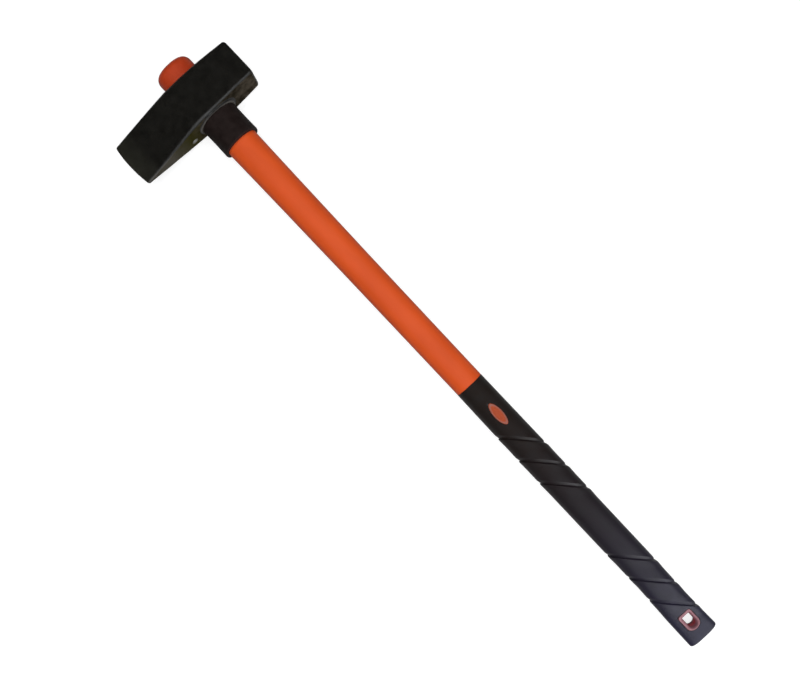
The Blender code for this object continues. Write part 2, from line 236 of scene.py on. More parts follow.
LINER_BRIGHT = (0.52, 0.095, 0.120)
LINER_HIGHLIGHT_DEEP = (0.29, 0.130, 0.155)
LINER_HIGHLIGHT_PALE = (0.35, 0.170, 0.196)
LINER_SEAM_SHADOW = (0.040, 0.018, 0.022)
EPOXY_DEEP = (0.36, 0.25, 0.10)
EPOXY_PALE = (0.55, 0.42, 0.20)
FIBRE_DEEP = (0.55, 0.50, 0.32)
FIBRE_PALE = (0.85, 0.82, 0.66)


# Materials


class Shader:
    """A material's node tree, with short calls for the nodes used here."""

    def __init__(self, name, roughness, metallic=0.0, specular=0.5):
        self.material = bpy.data.materials.new(name)
        self.material.use_nodes = True
        self.tree = self.material.node_tree
        self.surface = self.tree.nodes["Principled BSDF"]
        self.surface.inputs["Metallic"].default_value = metallic
        self.surface.inputs["Roughness"].default_value = roughness
        self.surface.inputs["Specular IOR Level"].default_value = specular
        self.place = self.tree.nodes.new("ShaderNodeTexCoord").outputs["Object"]

    def link(self, value, socket):
        if isinstance(value, bpy.types.NodeSocket):
            self.tree.links.new(value, socket)
        else:
            socket.default_value = value

    def set(self, name, value):
        self.link(value, self.surface.inputs[name])

    def stretched(self, scale):
        """The place, scaled by a different amount along each axis."""
        node = self.tree.nodes.new("ShaderNodeMapping")
        node.inputs["Scale"].default_value = scale
        self.tree.links.new(self.place, node.inputs["Vector"])
        return node.outputs["Vector"]

    def noise(self, size_mm, detail=3.0, rough=0.55, place=None):
        """Noise between 0 and 1 whose blobs are about size_mm across."""
        node = self.tree.nodes.new("ShaderNodeTexNoise")
        node.inputs["Scale"].default_value = 1000.0 / size_mm
        node.inputs["Detail"].default_value = detail
        node.inputs["Roughness"].default_value = rough
        self.tree.links.new(place or self.place, node.inputs["Vector"])
        return node.outputs["Fac"]

    def cells(self, size_mm):
        node = self.tree.nodes.new("ShaderNodeTexVoronoi")
        node.inputs["Scale"].default_value = 1000.0 / size_mm
        self.tree.links.new(self.place, node.inputs["Vector"])
        return node.outputs["Distance"]

    def maths(self, operation, first, second=0.0):
        node = self.tree.nodes.new("ShaderNodeMath")
        node.operation = operation
        self.link(first, node.inputs[0])
        self.link(second, node.inputs[1])
        return node.outputs[0]

    def ramp(self, value, low, high, out_low=0.0, out_high=1.0):
        """value from low..high to out_low..out_high, held at both ends."""
        node = self.tree.nodes.new("ShaderNodeMapRange")
        self.link(value, node.inputs["Value"])
        node.inputs["From Min"].default_value = low
        node.inputs["From Max"].default_value = high
        node.inputs["To Min"].default_value = out_low
        node.inputs["To Max"].default_value = out_high
        return node.outputs["Result"]

    def blend(self, share, first, second):
        """Mixes two colours, each a socket or an (r, g, b)."""
        node = self.tree.nodes.new("ShaderNodeMix")
        node.data_type = "RGBA"
        self.link(share, node.inputs[0])
        for colour, socket in ((first, node.inputs[6]), (second, node.inputs[7])):
            value = colour if isinstance(colour, bpy.types.NodeSocket) else (*colour, 1.0)
            self.link(value, socket)
        return node.outputs[2]

    def axis(self, letter):
        node = self.tree.nodes.new("ShaderNodeSeparateXYZ")
        self.tree.links.new(self.place, node.inputs[0])
        return node.outputs[letter]

    def edges(self, low, high):
        """0 on flats, rising to 1 on the sharpest outward edges."""
        node = self.tree.nodes.new("ShaderNodeNewGeometry")
        return self.ramp(node.outputs["Pointiness"], low, high)

    def facing_butt(self, low, high):
        """0 where the surface turns away from the butt, rising to 1 where it faces it squarely."""
        node = self.tree.nodes.new("ShaderNodeNewGeometry")
        split = self.tree.nodes.new("ShaderNodeSeparateXYZ")
        self.tree.links.new(node.outputs["Normal"], split.inputs[0])
        return self.ramp(split.outputs["X"], low, high)

    def attribute(self, name):
        node = self.tree.nodes.new("ShaderNodeAttribute")
        node.attribute_name = name
        return node.outputs["Fac"]

    def near(self, centre, radius):
        """1 at a point, falling to 0 at radius from it."""
        node = self.tree.nodes.new("ShaderNodeVectorMath")
        node.operation = "DISTANCE"
        self.tree.links.new(self.place, node.inputs[0])
        node.inputs[1].default_value = centre
        return self.ramp(node.outputs["Value"], radius, 0.0)

    def bump(self, *layers):
        """Stacks (height, depth in mm, strength) layers and gives the result to the surface."""
        normal = None
        for height, depth_mm, strength in layers:
            node = self.tree.nodes.new("ShaderNodeBump")
            node.inputs["Strength"].default_value = strength
            node.inputs["Distance"].default_value = mm(depth_mm)
            self.tree.links.new(height, node.inputs["Height"])
            if normal:
                self.tree.links.new(normal, node.inputs["Normal"])
            normal = node.outputs["Normal"]
        self.tree.links.new(normal, self.surface.inputs["Normal"])


def painted(shader, mottle, grain, worn):
    """Mottled black with dust in its grain, and bare steel with a painted sheen on its worn edges."""
    colour = shader.blend(shader.ramp(mottle, 0.35, 0.68), PAINT_DEEP, PAINT_PALE)
    dusty = shader.maths("MULTIPLY", shader.ramp(grain, 0.5, 0.75), 0.35)
    return shader.blend(worn, shader.blend(dusty, colour, PAINT_DUST), PAINT_WORN_SHEEN)


def underside_reflection_and_grime(shader):
    """Patchy brown near the poll, olive from the eye to the blade: a painted reflection of the pale
    floor, with grime.
    """
    patches = shader.ramp(shader.noise(13.0), 0.38, 0.62)
    near_poll = shader.blend(patches, POLL_REFLECTION_GRIME_PALE, POLL_REFLECTION_GRIME_DEEP)
    towards_blade = shader.ramp(shader.axis("Y"), *REFLECTION_GRIME_CHANGE_Y)
    return shader.blend(towards_blade, near_poll, BLADE_REFLECTION_GRIME)


def forged_black():
    """Black paint over a forged surface: mottling, fine grain, worn edges with a painted sheen, an
    underside with a painted floor reflection and grime, a painted rim highlight and dimple glint.
    """
    shader = Shader("forged_black", roughness=0.5, specular=0.55)
    mottle = shader.noise(9.0, 4.0)
    grain = shader.noise(0.9, 3.0)
    # Paler edges: wear, and a painted sheen standing in for the edges' highlights.
    worn = shader.maths("MULTIPLY", shader.edges(0.53, 0.62), shader.ramp(shader.noise(5.0), 0.35, 0.6))
    worn = shader.maths("MULTIPLY", worn, 0.55)
    # The underside facing the butt loses its specular; its paler colour is a painted reflection of the
    # pale floor, with patchy grime.
    underside = shader.facing_butt(0.88, 0.98)
    colour = shader.blend(underside, painted(shader, mottle, grain, worn), underside_reflection_and_grime(shader))
    # A painted highlight on the boss's rounded rim.
    rim = shader.maths("MULTIPLY", shader.ramp(shader.axis("X"), *RIM_HIGHLIGHT_X), 0.6)
    colour = shader.blend(rim, colour, RIM_HIGHLIGHT)
    # Bare steel and a painted glint around the dimple.
    dent = shader.maths("MULTIPLY", shader.near(DIMPLE_CENTRE, DIMPLE_GLINT_RADIUS), 1.3)
    colour = shader.blend(dent, colour, DIMPLE_BARE_GLINT)
    # Paler olive patches towards the blade tip.
    tip = shader.ramp(shader.axis("Y"), *BLADE_TIP_FADE_Y)
    colour = shader.blend(shader.maths("MULTIPLY", tip, shader.noise(14.0)), colour, BLADE_TIP_OLIVE)
    shader.set("Base Color", colour)
    shader.set("Specular IOR Level", shader.ramp(underside, 0.0, 1.0, 0.55, 0.0))
    shader.set("Roughness", shader.ramp(mottle, 0.3, 0.7, 0.33, 0.48))
    shader.set("Metallic", shader.maths("MULTIPLY", worn, 0.6))
    shader.bump((mottle, 0.22, 0.3), (grain, 0.06, 0.3))
    return shader.material


def moulded_orange(name, deep, bright, roughness):
    """Glossy moulded plastic: slight cloudiness, fine orange peel."""
    shader = Shader(name, roughness=roughness, specular=0.3)
    cloud = shader.noise(24.0, 3.0, place=shader.stretched((0.35, 1.0, 1.0)))
    grain = shader.noise(1.1, 2.0)
    shader.set("Base Color", shader.blend(shader.ramp(cloud, 0.3, 0.7), deep, bright))
    shader.set("Roughness", shader.ramp(grain, 0.3, 0.7, roughness - 0.05, roughness + 0.07))
    shader.set("Subsurface Weight", 0.04)
    shader.surface.inputs["Subsurface Radius"].default_value = (0.004, 0.001, 0.0005)
    shader.bump((grain, 0.05, 0.25))
    return shader.material


def black_rubber():
    """Matt rubber of the collar with a faint bloom and a fine pitted grain."""
    shader = Shader("black_rubber", roughness=0.62, specular=0.3)
    bloom = shader.noise(7.0, 4.0)
    grain = shader.noise(0.6, 2.0)
    colour = shader.blend(shader.ramp(bloom, 0.35, 0.7), COLLAR_DEEP, COLLAR_BLOOM)
    worn = shader.maths("MULTIPLY", shader.edges(0.53, 0.62), 0.3)
    shader.set("Base Color", shader.blend(worn, colour, COLLAR_WORN))
    shader.set("Roughness", shader.ramp(bloom, 0.3, 0.7, 0.55, 0.70))
    shader.bump((grain, 0.08, 0.4))
    return shader.material


def grip_rubber():
    """Soft black plastic of the grip: warm near the shaft, bluer and paler towards the butt, where a pool
    of bluish light is painted.
    """
    shader = Shader("grip_rubber", roughness=0.5, specular=0.5)
    # Painted light: paler and bluer towards the butt, nearer the softbox.
    butt_light_share = shader.maths("POWER", shader.ramp(shader.axis("X"), GRIP_LOW.x, GRIP_HIGH.x), 2.2)
    colour = shader.blend(butt_light_share, GRIP_WARM, GRIP_LIT_BLUE)
    cloud = shader.noise(12.0, 4.0)
    colour = shader.blend(shader.ramp(cloud, 0.35, 0.7, 0.0, 0.35), colour, GRIP_CLOUD)
    grain = shader.noise(0.55, 2.0)
    pits = shader.cells(0.9)
    worn = shader.maths("MULTIPLY", shader.edges(0.52, 0.60), 0.25)
    shader.set("Base Color", shader.blend(worn, colour, GRIP_WORN))
    shader.set("Roughness", shader.ramp(cloud, 0.3, 0.7, 0.38, 0.50))
    shader.bump((pits, 0.06, 0.25), (grain, 0.06, 0.3))
    return shader.material


def badge_orange(name):
    """The inlay: a paler rim, a painted highlight, around a more saturated field."""
    shader = Shader(name, roughness=0.42)
    painted_highlight = shader.attribute("painted_highlight")
    field = shader.blend(shader.ramp(shader.noise(3.0), 0.35, 0.65), BADGE_DEEP, BADGE_BRIGHT)
    # A painted highlight on the rim.
    shader.set("Base Color", shader.blend(painted_highlight, field, BADGE_RIM_HIGHLIGHT))
    grain = shader.noise(0.7, 2.0)
    shader.set("Roughness", shader.ramp(grain, 0.3, 0.7, 0.36, 0.5))
    shader.bump((grain, 0.05, 0.3))
    return shader.material


def liner_red():
    """The hang hole's liner: dull red inside, pinker with a painted highlight on its lip and upper bevel,
    darker with a painted shadow at its seam.
    """
    shader = Shader("liner_red", roughness=0.45)
    painted_highlight = shader.attribute("painted_highlight")
    cloud = shader.noise(4.0, 3.0)
    inside = shader.blend(shader.ramp(cloud, 0.35, 0.65), LINER_DEEP, LINER_BRIGHT)
    pale = shader.blend(shader.ramp(cloud, 0.35, 0.65), LINER_HIGHLIGHT_DEEP, LINER_HIGHLIGHT_PALE)
    # The lip and upper bevel are paler: a painted highlight.
    colour = shader.blend(painted_highlight, inside, pale)
    # The outer seam is darker: a painted shadow in the gap to the grip.
    shader.set("Base Color", shader.blend(shader.attribute("seam_shadow"), colour, LINER_SEAM_SHADOW))
    grain = shader.noise(0.7, 2.0)
    shader.set("Roughness", shader.ramp(grain, 0.3, 0.7, 0.42, 0.58))
    shader.bump((grain, 0.05, 0.3))
    return shader.material


def cured_epoxy():
    shader = Shader("cured_epoxy", roughness=0.25)
    cloud = shader.noise(5.0, 4.0)
    shader.set("Base Color", shader.blend(cloud, EPOXY_DEEP, EPOXY_PALE))
    shader.set("Transmission Weight", 0.15)
    shader.bump((shader.noise(1.5), 0.1, 0.3))
    return shader.material


def glass_fibre():
    """Pultruded rod: long pale strands in resin."""
    shader = Shader("glass_fibre", roughness=0.4)
    strands = shader.noise(0.8, 2.0, place=shader.stretched((0.02, 1.0, 1.0)))
    shader.set("Base Color", shader.blend(strands, FIBRE_DEEP, FIBRE_PALE))
    shader.bump((strands, 0.05, 0.5))
    return shader.material


# Head

HEAD_TOP_X = HEAD_LOW.x + mm(0.4)
BOSS_HEIGHT = mm(2.5)
BOSS_END_X = COLLAR_LOW.x - GAP
UNDERSIDE_X = BOSS_END_X - BOSS_HEIGHT
POLL_Y = HEAD_HIGH.y
BLADE_Y = HEAD_LOW.y
HALF_THICKNESS = HEAD_HIGH.z
POLL_HALF_THICKNESS = HEAD_HIGH.z - mm(2.0)
BLADE_HALF_THICKNESS = mm(1.8)
WEDGE_START_Y = mm(-26.0)
TAPER_START_Y = mm(34.0)
CHEEK_BLEND = mm(5.0)
BLADE_BELLY = mm(2.2)
BELLY_START_Y = mm(-70.0)
# The bevel along the cheeks' edges is widest beside the eye, where the wedge begins.
CHAMFER_SIZES = (
    (BLADE_Y, mm(2.3)),
    (mm(-70.0), mm(2.3)),
    (mm(-45.0), mm(3.0)),
    (mm(-15.0), mm(3.6)),
    (mm(10.0), mm(2.7)),
    (POLL_Y, mm(2.5)),
)
CHAMFER_ROUNDING = 0.75
CHAMFER_STEPS = 10
SIDE_STEPS = 24
SECTION_COUNT = 90
THIN_EDGE_SHARE = 0.6
BLADE_BLUNTING = 0.3
POLL_EDGE_RADIUS = mm(3.2)
BLADE_CORNER = mm(2.8)
# The head's top and underside lean a little between eye, poll and blade.
TOP_LEAN = ((BLADE_Y, mm(-0.4)), (0.0, 0.0), (POLL_Y, mm(3.0)))
UNDERSIDE_LEAN = ((BLADE_Y, mm(3.1)), (0.0, 0.0), (POLL_Y, mm(-1.8)))
BOSS_HALF_WIDTH = mm(26.2)
BOSS_HALF_DEPTH = mm(19.4)
BOSS_EDGE = mm(1.2)
BOSS_FLARE = mm(1.6)
BOSS_POWER = 2.4
# Shares of the boss's wall that get a ring; the first is sunk in the head, and the flare eases out.
BOSS_SHARES = (-1.5, 0.0, 0.12, 0.25, 0.4, 0.6, 0.8)
FLARE_EASING = 2.4
FLARE_DEPTH_SHARE = 0.2
DIMPLE_RADIUS = mm(3.9)
DIMPLE_DEPTH = mm(1.1)
DIMPLE_CENTRE = Vector((UNDERSIDE_X + mm(1.0), mm(-38.5), mm(-6.0)))
HEAD_VOXEL = mm(0.7)
# Where the head's marks begin and are full: the change of colour of the underside's painted
# floor reflection and grime, the boss's rim with its painted highlight, the paler olive tip of the
# blade, and the bare steel with a painted glint around the dimple.
REFLECTION_GRIME_CHANGE_Y = (mm(-15.0), mm(-40.0))
RIM_HIGHLIGHT_X = (BOSS_END_X - mm(1.5), BOSS_END_X - mm(0.5))
BLADE_TIP_FADE_Y = (mm(-85.0), mm(-113.0))
DIMPLE_GLINT_RADIUS = mm(4.6)
# (waves per metre, height) of the unevenness left by forging.
FORGING_WAVES = ((45.0, mm(0.22)), (140.0, mm(0.07)))


def eased(past, blend):
    """0 before a corner and the distance past it beyond, rounded off over blend on both sides."""
    if past <= -blend:
        return 0.0
    if past >= blend:
        return past
    return (past + blend) ** 2 / (4 * blend)


def head_half_thickness(y):
    """Parallel cheeks at the eye, a straight wedge to the blade and a slight taper to the poll."""
    wedge = (HALF_THICKNESS - BLADE_HALF_THICKNESS) / (WEDGE_START_Y - BLADE_Y)
    taper = (HALF_THICKNESS - POLL_HALF_THICKNESS) / (POLL_Y - TAPER_START_Y)
    lost = wedge * eased(WEDGE_START_Y - y, CHEEK_BLEND) + taper * eased(y - TAPER_START_Y, CHEEK_BLEND)
    return HALF_THICKNESS - lost


def chamfer_turn(angle):
    """A corner's unit outline at angle: between a quarter circle and a straight chamfer."""
    c, s = math.cos(angle), math.sin(angle)
    flat = 1 / (abs(c) + abs(s))
    share = CHAMFER_ROUNDING
    radius = share * flat + (1 - share)
    return radius * c, radius * s


def head_section(y, inset_x=0.0, inset_z=0.0, belly=0.0):
    """A rectangle with chamfered corners across the head, bowed towards the blade by belly."""
    top = HEAD_TOP_X + along(y, TOP_LEAN)[0] + inset_x
    underside = UNDERSIDE_X + along(y, UNDERSIDE_LEAN)[0] - inset_x
    half = head_half_thickness(y) - inset_z
    size = min(along(y, CHAMFER_SIZES)[0], half * THIN_EDGE_SHARE)
    corners = (
        (underside - size, half - size, 0),
        (top + size, half - size, 90),
        (top + size, size - half, 180),
        (underside - size, size - half, 270),
    )
    outline = []
    for index, (x, z, start) in enumerate(corners):
        for angle in np.radians(np.linspace(start, start + 90, CHAMFER_STEPS + 1)):
            turn_x, turn_z = chamfer_turn(angle)
            outline.append((x + size * turn_x, z + size * turn_z))
        next_x, next_z, next_start = corners[(index + 1) % 4]
        turn_x, turn_z = chamfer_turn(math.radians(next_start))
        goal = (next_x + size * turn_x, next_z + size * turn_z)
        side = np.linspace(outline[-1], goal, SIDE_STEPS + 1)[1:-1]
        outline += [tuple(point) for point in side]
    xz = np.array(outline)
    middle, reach = (top + underside) / 2, (underside - top) / 2
    bow = belly * (1 - ((xz[:, 0] - middle) / reach) ** 2)
    return np.stack([xz[:, 0], y - bow, xz[:, 1]], axis=1)


def head_block():
    rings = []
    for advance, inset in reversed(rounded_steps(POLL_EDGE_RADIUS, 6)):
        rings.append(head_section(POLL_Y - POLL_EDGE_RADIUS + advance, inset, inset))
    edge_y = BLADE_Y + BLADE_BELLY
    for y in np.linspace(POLL_Y - POLL_EDGE_RADIUS, edge_y + BLADE_CORNER, SECTION_COUNT)[1:-1]:
        belly = BLADE_BELLY * smooth(-y, -BELLY_START_Y, -edge_y - BLADE_CORNER)
        rings.append(head_section(y, belly=belly))
    for advance, inset in rounded_steps(BLADE_CORNER, 6):
        y = edge_y + BLADE_CORNER - advance
        rings.append(head_section(y, inset, BLADE_BLUNTING * inset, BLADE_BELLY))
    return loft_mesh("head_block", rings, capped=True)


def boss_shape():
    """The raised rim around the eye: flared into the underside, rounded at its end."""
    wall = BOSS_END_X - BOSS_EDGE - UNDERSIDE_X
    rings = []
    for share in BOSS_SHARES:
        flare = BOSS_FLARE * (1 - max(share, 0.0)) ** FLARE_EASING
        half_width, half_depth = BOSS_HALF_WIDTH + flare, BOSS_HALF_DEPTH + FLARE_DEPTH_SHARE * flare
        rings.append(oval(UNDERSIDE_X + wall * share, half_width, half_depth, BOSS_POWER))
    for advance, inset in rounded_steps(BOSS_EDGE, 7):
        rings.append(oval(BOSS_END_X - BOSS_EDGE + advance, BOSS_HALF_WIDTH - inset,
                          BOSS_HALF_DEPTH - inset, BOSS_POWER))
    return loft_mesh("boss", rings, capped=True)


def forging_offset(point):
    """Shallow waves and hammer marks left by forging, and the dimple of a hardness test."""
    wave = sum(noise.noise(point * frequency) * height for frequency, height in FORGING_WAVES)
    distance = (point - DIMPLE_CENTRE).length
    dimple = DIMPLE_DEPTH * max(0.0, 1 - (distance / DIMPLE_RADIUS) ** 2)
    return wave - dimple


def build_head(material):
    head = new_object("head", head_block())
    cut(head, boss_shape(), "UNION")
    eye_half_width = RESIN_HIGH.y + GAP
    eye_half_depth = RESIN_HIGH.z + GAP
    ends = (HEAD_LOW.x - CUT_OVERRUN, HEAD_HIGH.x + CUT_OVERRUN)
    cut(head, loft_mesh("eye", [oval(x, eye_half_width, eye_half_depth) for x in ends], capped=True))
    remesh = head.modifiers.new("remesh", "REMESH")
    remesh.mode = "VOXEL"
    remesh.voxel_size = HEAD_VOXEL
    relax = head.modifiers.new("relax", "SMOOTH")
    relax.iterations = 4
    relax.factor = 0.5
    apply_modifiers(head)
    displace(head, forging_offset)
    return piece("maul_head_forging", head, "maul_head", material, ALL_SMOOTH_DEGREES)


# Knob, collar and shaft

CAP_CORNER = mm(9.0)
CAP_CROWN = mm(1.2)
CAP_FOOT = mm(1.5)
CROWN_MIDDLE = mm(0.4)
COLLAR_EDGE = mm(1.2)
COLLAR_WAIST = mm(0.25)
RESIN_THICKNESS = mm(1.2)
TENON_SHOULDER = mm(5.0)
PARTING_HEIGHT = mm(0.12)
PARTING_WIDTH = mm(1.1)


def build_cap(material):
    """A rounded oval knob with a blind socket for the core."""
    middle_y = (CAP_LOW.y + CAP_HIGH.y) / 2
    half_width = (CAP_HIGH.y - CAP_LOW.y) / 2
    half_depth = CAP_HIGH.z
    bore = CORE_HIGH.z + GAP
    base_x, crown_x = CAP_HIGH.x, CAP_LOW.x
    rings = [oval(CORE_LOW.x - GAP, bore, bore, 2.0), oval(base_x, bore, bore, 2.0)]

    def outside(x, trim):
        ring = oval(x, half_width - trim, half_depth - trim)
        ring[:, 1] += middle_y
        rings.append(ring)

    for advance, inset in reversed(rounded_steps(CAP_FOOT, 5)):
        outside(base_x - CAP_FOOT + advance, inset)
    rim_x = crown_x + CAP_CROWN + CAP_CORNER
    for x in np.linspace(base_x - CAP_FOOT, rim_x, 8)[1:-1]:
        outside(x, 0.0)
    for advance, inset in rounded_steps(CAP_CORNER, 16):
        outside(rim_x - advance, inset)
    for share in np.linspace(0, 1, 12)[1:]:
        trim = CAP_CORNER + (half_depth - CAP_CORNER - CROWN_MIDDLE) * share
        outside(crown_x + CAP_CROWN * (1 - share) ** 2, trim)
    cap = new_object("cap", loft_mesh("cap", rings, capped=True))
    return piece("top_knob", cap, "top_cap", material)


def build_collar(material):
    """The rubber sleeve under the head, soft-edged and very slightly waisted."""
    half_width, half_depth = COLLAR_HIGH.y, COLLAR_HIGH.z
    inner = (JACKET_HIGH.y + GAP, JACKET_HIGH.z + GAP)
    low, high = COLLAR_LOW.x, COLLAR_HIGH.x
    rings = []
    for advance, inset in reversed(rounded_steps(COLLAR_EDGE, 5)):
        rings.append(oval(low + COLLAR_EDGE - advance, half_width - inset, half_depth - inset))
    for share in np.linspace(0, 1, 30)[1:-1]:
        waist = COLLAR_WAIST * math.sin(math.pi * share)
        x = low + COLLAR_EDGE + (high - low - 2 * COLLAR_EDGE) * share
        rings.append(oval(x, half_width - waist, half_depth - waist))
    for advance, inset in rounded_steps(COLLAR_EDGE, 5):
        rings.append(oval(high - COLLAR_EDGE + advance, half_width - inset, half_depth - inset))
    rings += [oval(high, *inner), oval(low, *inner)]
    collar = new_object("collar", loft_mesh("collar", rings, capped=False))
    return piece("collar_sleeve", collar, "overstrike_collar", material)


# (x, half width, half depth) of the open shaft.
SHAFT_STATIONS = (
    (mm(-815.0), JACKET_HIGH.y, JACKET_HIGH.z),
    (mm(-782.0), JACKET_HIGH.y, JACKET_HIGH.z),
    (mm(-740.0), mm(19.5), mm(15.0)),
    (mm(-690.0), mm(19.1), mm(14.7)),
    (mm(-640.0), mm(18.8), mm(14.5)),
    (mm(-590.0), mm(18.45), mm(14.2)),
    (mm(-397.3), mm(18.1), mm(14.0)),
)
# (x, half width, half depth) of the jacket inside the grip.
INNER_STATIONS = (
    (mm(-397.3), mm(15.7), mm(11.2)),
    (mm(-100.0), mm(15.7), mm(11.0)),
    (mm(-70.0), mm(15.5), mm(9.2)),
    (mm(-40.0), mm(15.5), mm(7.4)),
)
BORE_END_X = CORE_HIGH.x + 2 * GAP


def inner_ring(x, grow):
    half_width, half_depth = along(x, INNER_STATIONS)
    return oval(x, half_width + grow, half_depth + grow)


def with_parting_line(ring):
    """A faint raised line down both edges, where the mould closed."""
    height = PARTING_HEIGHT * np.exp(-((ring[:, 2] / PARTING_WIDTH) ** 2) * 4)
    ring[:, 1] += np.sign(ring[:, 1]) * height
    return ring


def build_jacket(material):
    """Blind-bored jacket: tenon in the eye, open shaft, thin end inside the grip."""
    bore = CORE_HIGH.z + GAP
    tenon = (RESIN_HIGH.y - RESIN_THICKNESS - GAP, RESIN_HIGH.z - RESIN_THICKNESS - GAP)
    shoulder_x = SHAFT_STATIONS[0][0] - TENON_SHOULDER
    grip_x = SHAFT_STATIONS[-1][0]
    rings = [oval(BORE_END_X, bore, bore, 2.0), oval(JACKET_LOW.x, bore, bore, 2.0)]
    rings += [oval(x, *tenon) for x in np.linspace(JACKET_LOW.x, shoulder_x, 12)]
    for x in np.linspace(SHAFT_STATIONS[0][0], grip_x, 140):
        rings.append(with_parting_line(oval(x, *along(x, SHAFT_STATIONS))))
    rings += [inner_ring(x, 0.0) for x in np.linspace(grip_x, JACKET_HIGH.x, 60)]
    jacket = new_object("jacket", loft_mesh("jacket", rings, capped=True))
    return piece("handle_shaft", jacket, "handle_jacket", material)


# Grip

# (x, half width, half depth, shift towards the poll side, oval power) of the grip. Its last
# stretch is flatter and squarer, and flares towards the blade side.
GRIP_STATIONS = (
    (mm(-397.0), mm(18.3), mm(14.2), 0.0, 2.15),
    (mm(-350.0), mm(18.6), mm(14.1), 0.0, 2.15),
    (mm(-250.0), mm(19.15), mm(14.0), 0.0, 2.15),
    (mm(-135.0), mm(19.0), mm(13.5), 0.0, 2.2),
    (mm(-70.0), mm(18.4), mm(12.3), mm(-0.3), 2.4),
    (mm(-46.0), mm(18.8), mm(10.5), mm(-0.5), 2.6),
    (mm(-30.0), mm(19.5), mm(8.9), mm(-0.9), 2.8),
    (0.0, mm(20.0), mm(8.3), mm(-0.9), 3.0),
)
GROOVES = tuple(mm(x) for x in (-308.0, -272.3, -236.6, -121.7, -85.8, -50.5))
GROOVE_SLANT = 1.11
GROOVE_BOW = 0.33
GROOVE_DEPTH = mm(1.25)
GROOVE_STEP = mm(0.4)
SLANT_FULL = (mm(-330.0), mm(-49.0))
SLANT_END = mm(-4.0)
# Distance between rings on the plain stretches and across a groove.
PLAIN_STEP = mm(2.0)
GROOVE_STEP_X = mm(0.25)
BUTT_CORNER = mm(1.6)
TOP_EDGE = mm(0.7)
# Shares of the butt's flat end face that get a ring.
BUTT_FACE_SHARES = (0.9, 0.7, 0.45, 0.2)
# (distance past a groove's centre, height): a long slope, a narrow floor, a steeper rise to a
# proud lip that fades away.
GROOVE_PROFILE = (
    (mm(-4.6), 0.0),
    (mm(-4.0), mm(-0.08)),
    (mm(-0.2), -GROOVE_DEPTH * 0.94),
    (mm(0.5), -GROOVE_DEPTH),
    (mm(1.0), -GROOVE_DEPTH * 0.9),
    (mm(2.9), GROOVE_STEP * 0.8),
    (mm(3.6), GROOVE_STEP),
    (mm(14.0), 0.0),
)


def groove_offset(x):
    """How proud the grip's surface is at x."""
    return sum(along(x - centre, GROOVE_PROFILE)[0] for centre in GROOVES)


def slant_share(x):
    rising = np.interp(x, (GRIP_LOW.x, SLANT_FULL[0]), (0.0, 1.0))
    falling = np.interp(x, (SLANT_FULL[1], SLANT_END), (1.0, 0.0))
    return float(min(rising, falling))


def grip_ring(x, proud):
    half_width, half_depth, shift, power = along(x, GRIP_STATIONS)
    ring = oval(x, half_width + proud, half_depth + proud, power)
    ring[:, 0] += slant_share(x) * (GROOVE_SLANT * ring[:, 1] - GROOVE_BOW * np.abs(ring[:, 2]))
    ring[:, 1] += shift
    return ring


def grip_stations():
    """Places along the grip, close together across each groove."""
    first, last = GRIP_LOW.x + PLAIN_STEP, -BUTT_CORNER - mm(1)
    places = set(np.round(np.arange(first, last, PLAIN_STEP), 6))
    for centre in GROOVES:
        places |= set(np.round(np.arange(centre - mm(5), centre + mm(4), GROOVE_STEP_X), 6))
    return sorted(places)


def grip_surface_z(x, y):
    half_width, half_depth, shift, power = along(x, GRIP_STATIONS)
    return half_depth * (1 - abs((y - shift) / half_width) ** power) ** (1 / power)


def build_grip(material):
    bore_end = JACKET_HIGH.x + GAP
    rings = [inner_ring(x, GAP) for x in np.linspace(bore_end, GRIP_LOW.x, 60)]
    for advance, inset in reversed(rounded_steps(TOP_EDGE, 4)):
        rings.append(grip_ring(GRIP_LOW.x + TOP_EDGE - advance, -inset))
    rings += [grip_ring(x, groove_offset(x)) for x in grip_stations()]
    for advance, inset in rounded_steps(BUTT_CORNER, 8):
        rings.append(grip_ring(-BUTT_CORNER + advance, -inset))
    for share in BUTT_FACE_SHARES:
        rings.append(grip_ring(0.0, -BUTT_CORNER) * np.array((1.0, share, share)))
    grip = new_object("grip", loft_mesh("grip", rings, capped=True))
    cut(grip, hole_prism(GAP))
    for side in (1, -1):
        cut(grip, badge_recess(side))
    return piece("grip_cover", grip, "grip_sleeve", material)


# Inlays

BADGE_POINTS = 120
BADGE_POINT = 1.05
BADGE_SUNK = mm(0.9)
BADGE_RECESS_TOP = mm(3.0)
RECESS_SHARES = (0.05, 0.5, 1.0)
# (share of the inlay's size, height over its sunk bottom in mm) from the bottom's middle outwards.
BADGE_FOOT = ((0.05, 0.0), (0.5, 0.0), (0.97, 0.0), (1.0, 0.1))
# (share of the inlay's size, height over the grip in mm, how pale with a painted highlight) from
# its wall over the raised rim to the slightly crowned field.
BADGE_PROFILE = (
    (1.0, 0.05, 0.0),
    (0.985, 0.22, 0.0),
    (0.96, 0.36, 0.4),
    (0.92, 0.44, 1.0),
    (0.85, 0.40, 1.0),
    (0.80, 0.22, 0.8),
    (0.75, 0.05, 0.2),
    (0.71, 0.02, 0.0),
    (0.6, 0.06, 0.0),
    (0.4, 0.12, 0.0),
    (0.2, 0.16, 0.0),
    (0.05, 0.17, 0.0),
)


